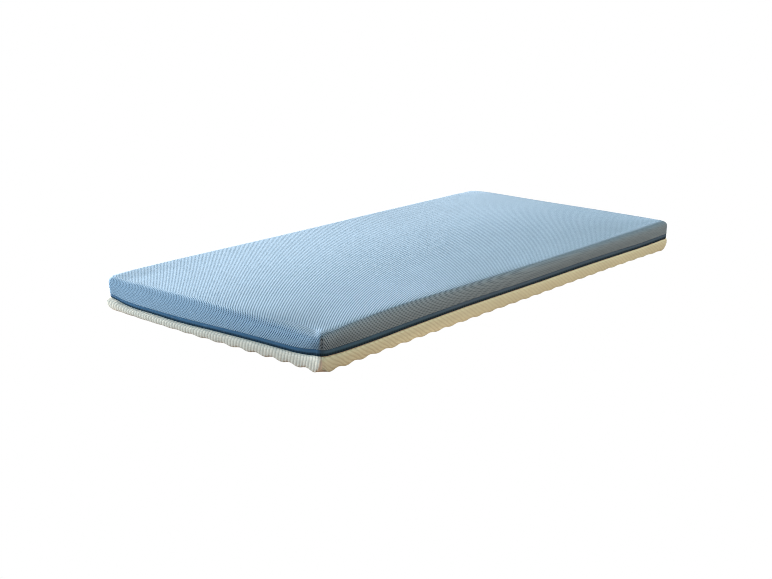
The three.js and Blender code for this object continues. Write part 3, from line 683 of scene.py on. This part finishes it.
# ------------------------------------------------------------------ materials
class Nodes:
    """Short ways to add shader nodes."""

    def __init__(self, name):
        self.mat = bpy.data.materials.new(name)
        self.mat.use_nodes = True
        self.tree = self.mat.node_tree
        self.tree.nodes.clear()
        self.out = self.tree.nodes.new("ShaderNodeOutputMaterial")
        self.bsdf = self.tree.nodes.new("ShaderNodeBsdfPrincipled")
        self.tree.links.new(self.bsdf.outputs[0], self.out.inputs["Surface"])

    def put(self, socket, value):
        if isinstance(value, bpy.types.NodeSocket):
            self.tree.links.new(value, socket)
        elif isinstance(value, (tuple, list)):
            socket.default_value = tuple(value) + ((1.0,) if len(socket.default_value) == 4 and len(value) == 3 else ())
        else:
            socket.default_value = value

    def math(self, op, a, b=None, c=None, clamp=False):
        n = self.tree.nodes.new("ShaderNodeMath")
        n.operation, n.use_clamp = op, clamp
        for k, val in enumerate((a, b, c)):
            if val is not None:
                self.put(n.inputs[k], val)
        return n.outputs[0]

    def attribute(self, name, output="Vector"):
        n = self.tree.nodes.new("ShaderNodeAttribute")
        n.attribute_name = name
        return n.outputs[output]

    def split(self, vector):
        n = self.tree.nodes.new("ShaderNodeSeparateXYZ")
        self.put(n.inputs[0], vector)
        return n.outputs

    def join(self, x, y, z):
        n = self.tree.nodes.new("ShaderNodeCombineXYZ")
        for k, val in enumerate((x, y, z)):
            self.put(n.inputs[k], val)
        return n.outputs[0]

    def where(self):
        return self.tree.nodes.new("ShaderNodeTexCoord").outputs["Object"]

    def noise(self, vector, scale, detail=2.0, rough=0.5):
        n = self.tree.nodes.new("ShaderNodeTexNoise")
        self.put(n.inputs["Vector"], vector)
        n.inputs["Scale"].default_value = scale
        n.inputs["Detail"].default_value = detail
        n.inputs["Roughness"].default_value = rough
        return n.outputs["Fac"]

    def spread(self, value, lo, hi, to_lo=0.0, to_hi=1.0, smooth=False):
        n = self.tree.nodes.new("ShaderNodeMapRange")
        n.interpolation_type = "SMOOTHSTEP" if smooth else "LINEAR"
        self.put(n.inputs[0], value)
        for k, val in enumerate((lo, hi, to_lo, to_hi)):
            n.inputs[k + 1].default_value = val
        return n.outputs[0]

    def mix(self, factor, a, b):
        n = self.tree.nodes.new("ShaderNodeMix")
        n.data_type = "RGBA"
        self.put(n.inputs[0], factor)
        self.put(n.inputs[6], a)
        self.put(n.inputs[7], b)
        return n.outputs[2]

    def scale(self, colour, factor):
        n = self.tree.nodes.new("ShaderNodeVectorMath")
        n.operation = "SCALE"
        self.put(n.inputs[0], colour)
        self.put(n.inputs["Scale"], factor)
        return n.outputs[0]

    def bump(self, height, distance, strength=1.0):
        n = self.tree.nodes.new("ShaderNodeBump")
        self.put(n.inputs["Height"], height)
        n.inputs["Distance"].default_value = distance
        n.inputs["Strength"].default_value = strength
        self.tree.links.new(n.outputs[0], self.bsdf.inputs["Normal"])

    def set(self, **values):
        for key, val in values.items():
            self.put(self.bsdf.inputs[key.replace("_", " ")], val)


TURN = 2 * math.pi


def blue_mesh():
    n = Nodes("blue_mesh_knit")
    rows = n.split(n.attribute("knit_rows"))
    one = n.math("COSINE", n.math("MULTIPLY", rows[0], TURN))
    two = n.math("COSINE", n.math("MULTIPLY", rows[1], TURN))
    both = n.math("ADD", n.math("MULTIPLY", one, 1.4), n.math("MULTIPLY", two, 0.8))
    opening = n.spread(both, 0.0, 1.1, smooth=True)
    fine = n.noise(n.where(), 1400.0, 2.0, 0.6)
    wide = n.noise(n.where(), 9.0, 3.0, 0.55)
    yarn = n.mix(n.spread(fine, 0.3, 0.7), (0.334, 0.449, 0.551), (0.356, 0.475, 0.583))
    colour = n.mix(n.math("MULTIPLY", opening, rows[2]), yarn, (0.04, 0.078, 0.115))
    # closer openings show less of the dark below, which the yarn's tone makes up for
    colour = n.scale(colour, n.spread(rows[2], 0.1, 1.2, 0.702, 1.103))
    # the knit tone carries the painted light and shade of the upper cover
    colour = n.scale(colour, n.math("MULTIPLY", n.spread(wide, 0.3, 0.7, 0.985, 1.015), n.attribute("knit_tone_and_painted_light", "Fac")))
    n.set(Base_Color=colour, Roughness=0.95, Specular_IOR_Level=0.0)
    deep = n.math("MULTIPLY", n.spread(rows[2], 0.1, 0.6, -0.25, -1.0), n.spread(rows[2], 1.0, 1.35, 1.0, 1.6))
    deep = n.math("MULTIPLY", opening, deep)
    height = n.math("ADD", deep, n.math("MULTIPLY", fine, 0.35))
    n.bump(height, 0.00035, 0.6)
    return n.mat


def navy_tape():
    n = Nodes("navy_tape")
    run = n.split(n.attribute("tape_run_and_shade"))
    rib = n.math("COSINE", n.math("MULTIPLY", run[0], TURN / 1.5))
    fine = n.noise(n.where(), 1600.0, 2.0, 0.6)
    wide = n.noise(n.where(), 25.0, 3.0, 0.55)
    tone = n.math("ADD", n.spread(rib, -1.0, 1.0, 0.9, 1.1), n.spread(fine, 0.3, 0.7, -0.08, 0.08))
    # navy above, and near-black over its lower part as painted shade, where the tape turns under towards the cream; a
    # row of stitches runs along it
    low = n.spread(run[1], 0.30, 0.66, 1.0, 0.0, smooth=True)
    stitch = n.spread(n.math("COSINE", n.math("MULTIPLY", run[0], TURN / 7.0)), -0.2, 0.8, smooth=True)
    low = n.math("MULTIPLY", low, n.spread(stitch, 0.0, 1.0, 0.82, 1.0))
    # painted shade: where deep falls, on the end at -X and round the corner at -X -Y, the tape is bluer and darker
    upper = n.mix(n.spread(run[2], 0.8, 1.0), (0.083, 0.178, 0.285), (0.094, 0.158, 0.242))
    colour = n.scale(n.mix(low, upper, (0.014, 0.034, 0.05)), tone)
    colour = n.scale(colour, n.math("MULTIPLY", n.spread(wide, 0.3, 0.7, 0.95, 1.05), run[2]))
    n.set(Base_Color=colour, Roughness=0.85, Specular_IOR_Level=0.05)
    n.bump(n.math("ADD", rib, n.math("MULTIPLY", fine, 0.6)), 0.0002, 0.7)
    return n.mat


def cream_rib():
    n = Nodes("cream_rib_knit")
    run = n.split(n.attribute("rib_run"))                        # ribs, height in mm, 1 on a short side
    lean = n.spread(run[2], 0.0, 1.0, RIB_LEAN["long"], RIB_LEAN["short"])
    count = n.math("ADD", run[0], n.math("MULTIPLY", run[1], lean))
    rib = n.math("COSINE", n.math("MULTIPLY", count, TURN))      # 1 in a valley, -1 on a rib
    rib = n.math("MULTIPLY", rib, n.attribute("rib_soft", "Fac"))
    fine = n.noise(n.where(), 1200.0, 2.0, 0.6)
    wide = n.noise(n.where(), 14.0, 3.0, 0.55)
    rows = n.math("COSINE", n.math("MULTIPLY", run[1], TURN / 1.9))
    # painted shade: the valleys are darker than the ribs, and the short sides get a darker, redder copy of the cream
    # with darker valleys still
    on_rib = n.mix(run[2], (0.775, 0.80, 0.615), (0.735, 0.642, 0.512))
    valley_shade = n.mix(run[2], (0.67, 0.678, 0.51), (0.55, 0.47, 0.371))
    colour = n.mix(n.spread(rib, -0.4, 1.0, smooth=True), on_rib, valley_shade)
    # the rib tone carries the painted light and shade of the lower cover
    colour = n.scale(colour, n.math("MULTIPLY", n.spread(wide, 0.3, 0.7, 0.97, 1.03), n.attribute("rib_tone_and_painted_light", "Fac")))
    colour = n.scale(colour, n.spread(fine, 0.3, 0.7, 0.95, 1.05))
    n.set(Base_Color=colour, Roughness=0.95, Specular_IOR_Level=0.0)
    height = n.math("ADD", n.math("MULTIPLY", rows, 0.4), n.math("MULTIPLY", fine, 0.8))
    n.bump(height, 0.00025, 0.7)
    return n.mat


# --------------------------------------------------------------------- pieces
top = make_cover_top()
tape = make_border_tape()
base = make_cover_base()
for piece, node, slot, material, fill in (
    (top, "cover_top", "blue_mesh_knit", blue_mesh(), 1.0),
    (tape, "border_tape", "navy_tape", navy_tape(), None),
    (base, "cover_base", "cream_rib_knit", cream_rib(), 1.0),
):
    piece.data.materials.append(material)
    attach(piece, "root")
    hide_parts(node)


# ---------------------------------------------------------- floor, light, view
# Lights: a low one from behind that grazes the top, a cool one behind the -X side, a
# warm weak one in front and two weak ones high up. Directions are in degrees, azimuth
# from +X towards +Y, and strength is in watts for red, green and blue.
LIGHT_DISTANCE, LIGHT_SIZE = 4.4, 1.8
LIGHTS = {
    "name":      ["back", "left", "front", "high", "high_front"],
    "elevation": [12.0, 12.0, 12.0, 60.0, 60.0],
    "azimuth":   [90.0, 135.0, 270.0, 0.0, 315.0],
    "strength":  [(1165, 1070, 1040), (134, 190, 238), (72, 53, 41), (43, 50, 60), (39, 49, 41)],
}
FLOOR_GLOW = (0.221, 0.155, 0.108)


def stage_floor():
    me = bpy.data.meshes.new("floor")
    r, z = 60.0, -0.0004
    me.from_pydata([(-r, -r, z), (r, -r, z), (r, r, z), (-r, r, z)], [], [(0, 1, 2, 3)])
    ob = bpy.data.objects.new("floor", me)
    bpy.context.scene.collection.objects.link(ob)
    mat = bpy.data.materials.new("floor_paper")
    mat.use_nodes = True
    t = mat.node_tree
    t.nodes.clear()
    out = t.nodes.new("ShaderNodeOutputMaterial")
    path = t.nodes.new("ShaderNodeLightPath")
    seen = t.nodes.new("ShaderNodeEmission")          # paper-white to the eye
    seen.inputs[0].default_value, seen.inputs[1].default_value = (1, 1, 1, 1), 1.0
    lit = t.nodes.new("ShaderNodeBsdfDiffuse")        # and a soft warm bounce to the cloth
    lit.inputs[0].default_value = (0.3, 0.3, 0.3, 1)
    glow = t.nodes.new("ShaderNodeEmission")
    glow.inputs[0].default_value, glow.inputs[1].default_value = FLOOR_GLOW + (1,), 1.0
    bounce = t.nodes.new("ShaderNodeAddShader")
    pick = t.nodes.new("ShaderNodeMixShader")
    t.links.new(lit.outputs[0], bounce.inputs[0])
    t.links.new(glow.outputs[0], bounce.inputs[1])
    t.links.new(path.outputs["Is Camera Ray"], pick.inputs[0])
    t.links.new(bounce.outputs[0], pick.inputs[1])
    t.links.new(seen.outputs[0], pick.inputs[2])
    t.links.new(pick.outputs[0], out.inputs["Surface"])
    me.materials.append(mat)
    return ob


def area_light(name, elevation, azimuth, strength):
    data = bpy.data.lights.new(name, "AREA")
    data.shape, data.size = "DISK", LIGHT_SIZE
    data.energy = max(strength)
    data.color = tuple(c / max(strength) for c in strength)
    ob = bpy.data.objects.new(name, data)
    bpy.context.scene.collection.objects.link(ob)
    el, az = math.radians(elevation), math.radians(azimuth)
    ob.location = Vector((math.cos(az) * math.cos(el), math.sin(az) * math.cos(el), math.sin(el))) * LIGHT_DISTANCE
    ob.rotation_mode = "QUATERNION"
    ob.rotation_quaternion = (-ob.location).to_track_quat("-Z", "Y")
    return ob


stage_floor()
for light in zip(*LIGHTS.values()):
    area_light(*light)

world = bpy.data.worlds.new("studio")
bpy.context.scene.world = world
world.use_nodes = True
wt = world.node_tree
wt.nodes.clear()
w_out = wt.nodes.new("ShaderNodeOutputWorld")
w_path = wt.nodes.new("ShaderNodeLightPath")
w_soft, w_seen = wt.nodes.new("ShaderNodeBackground"), wt.nodes.new("ShaderNodeBackground")
w_soft.inputs[0].default_value, w_soft.inputs[1].default_value = (0.9, 0.95, 1.0, 1), 0.0
w_seen.inputs[0].default_value, w_seen.inputs[1].default_value = (1, 1, 1, 1), 1.0
w_mix = wt.nodes.new("ShaderNodeMixShader")
wt.links.new(w_path.outputs["Is Camera Ray"], w_mix.inputs[0])
wt.links.new(w_soft.outputs[0], w_mix.inputs[1])
wt.links.new(w_seen.outputs[0], w_mix.inputs[2])
wt.links.new(w_mix.outputs[0], w_out.inputs["Surface"])

AZ, EL, ROLL = math.radians(-49.77), math.radians(15.775), math.radians(0.538)
back = Vector((math.sin(AZ) * math.cos(EL), -math.cos(AZ) * math.cos(EL), math.sin(EL)))
place = Vector((-0.2568, -0.1385, 0.0503)) + back * 2.389
right = (-back).cross(Vector((0, 0, 1))).normalized()
up = right.cross(-back)
right, up = right * math.cos(ROLL) + up * math.sin(ROLL), up * math.cos(ROLL) - right * math.sin(ROLL)
cam_data = bpy.data.cameras.new("camera")
cam = bpy.data.objects.new("camera", cam_data)
bpy.context.scene.collection.objects.link(cam)
cam.matrix_world = Matrix((
    (right.x, up.x, back.x, place.x),
    (right.y, up.y, back.y, place.y),
    (right.z, up.z, back.z, place.z),
    (0, 0, 0, 1),
))
cam_data.sensor_width = 36.0
cam_data.lens = 1230.9 * 36.0 / 772.0
cam_data.clip_start, cam_data.clip_end = 0.05, 200.0
bpy.context.scene.camera = cam

view = bpy.context.scene.view_settings
view.view_transform = "Standard"
view.look = "None"
bpy.context.scene.cycles.filter_width = 1.0
